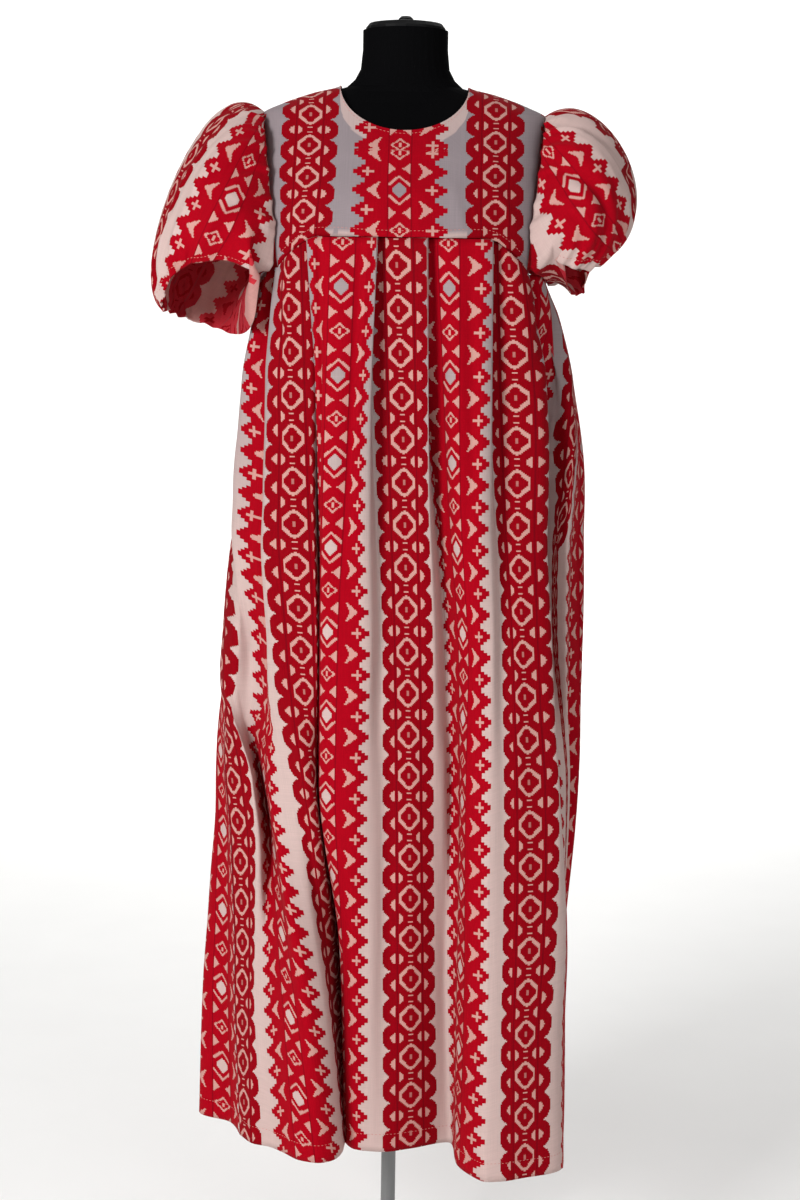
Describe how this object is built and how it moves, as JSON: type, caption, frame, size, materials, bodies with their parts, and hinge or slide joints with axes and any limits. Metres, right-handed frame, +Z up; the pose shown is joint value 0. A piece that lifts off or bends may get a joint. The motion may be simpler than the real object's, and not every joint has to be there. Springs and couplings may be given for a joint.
{
  "type": "folk dress on a limbless dress form",
  "caption": "Long folk dress of red and cream banded cotton with a round yoke, pleated skirt and short puff sleeves, hanging on a black limbless dress form with a pole and round base",
  "frame": {"origin": "middle of the base's underside, on the floor under the pole", "axes": "+Z up, the front of the dress faces -Y, +X is the viewer's right seen from the front"},
  "size_m": [0.6266, 0.4009, 1.7224],
  "materials": {
    "yoke_cloth": "matte jacquard-woven cotton, red and cream",
    "skirt_cloth": "matte jacquard-woven cotton, red and cream",
    "sleeve_cloth": "matte jacquard-woven cotton, red and cream",
    "form_cover": "black jersey cover, matte",
    "form_cap_plastic": "matte black",
    "pole_steel": "satin grey",
    "base_steel": "satin dark grey"
  },
  "bodies": {
    "root": {"yoke_front": "yoke_cloth", "yoke_back": "yoke_cloth", "skirt_front": "skirt_cloth", "skirt_back": "skirt_cloth", "sleeve_left": "sleeve_cloth", "sleeve_right": "sleeve_cloth", "form_torso": "form_cover", "form_cap": "form_cap_plastic", "stand_pole": "pole_steel", "stand_base": "base_steel"}
  },
  "joints": []
}
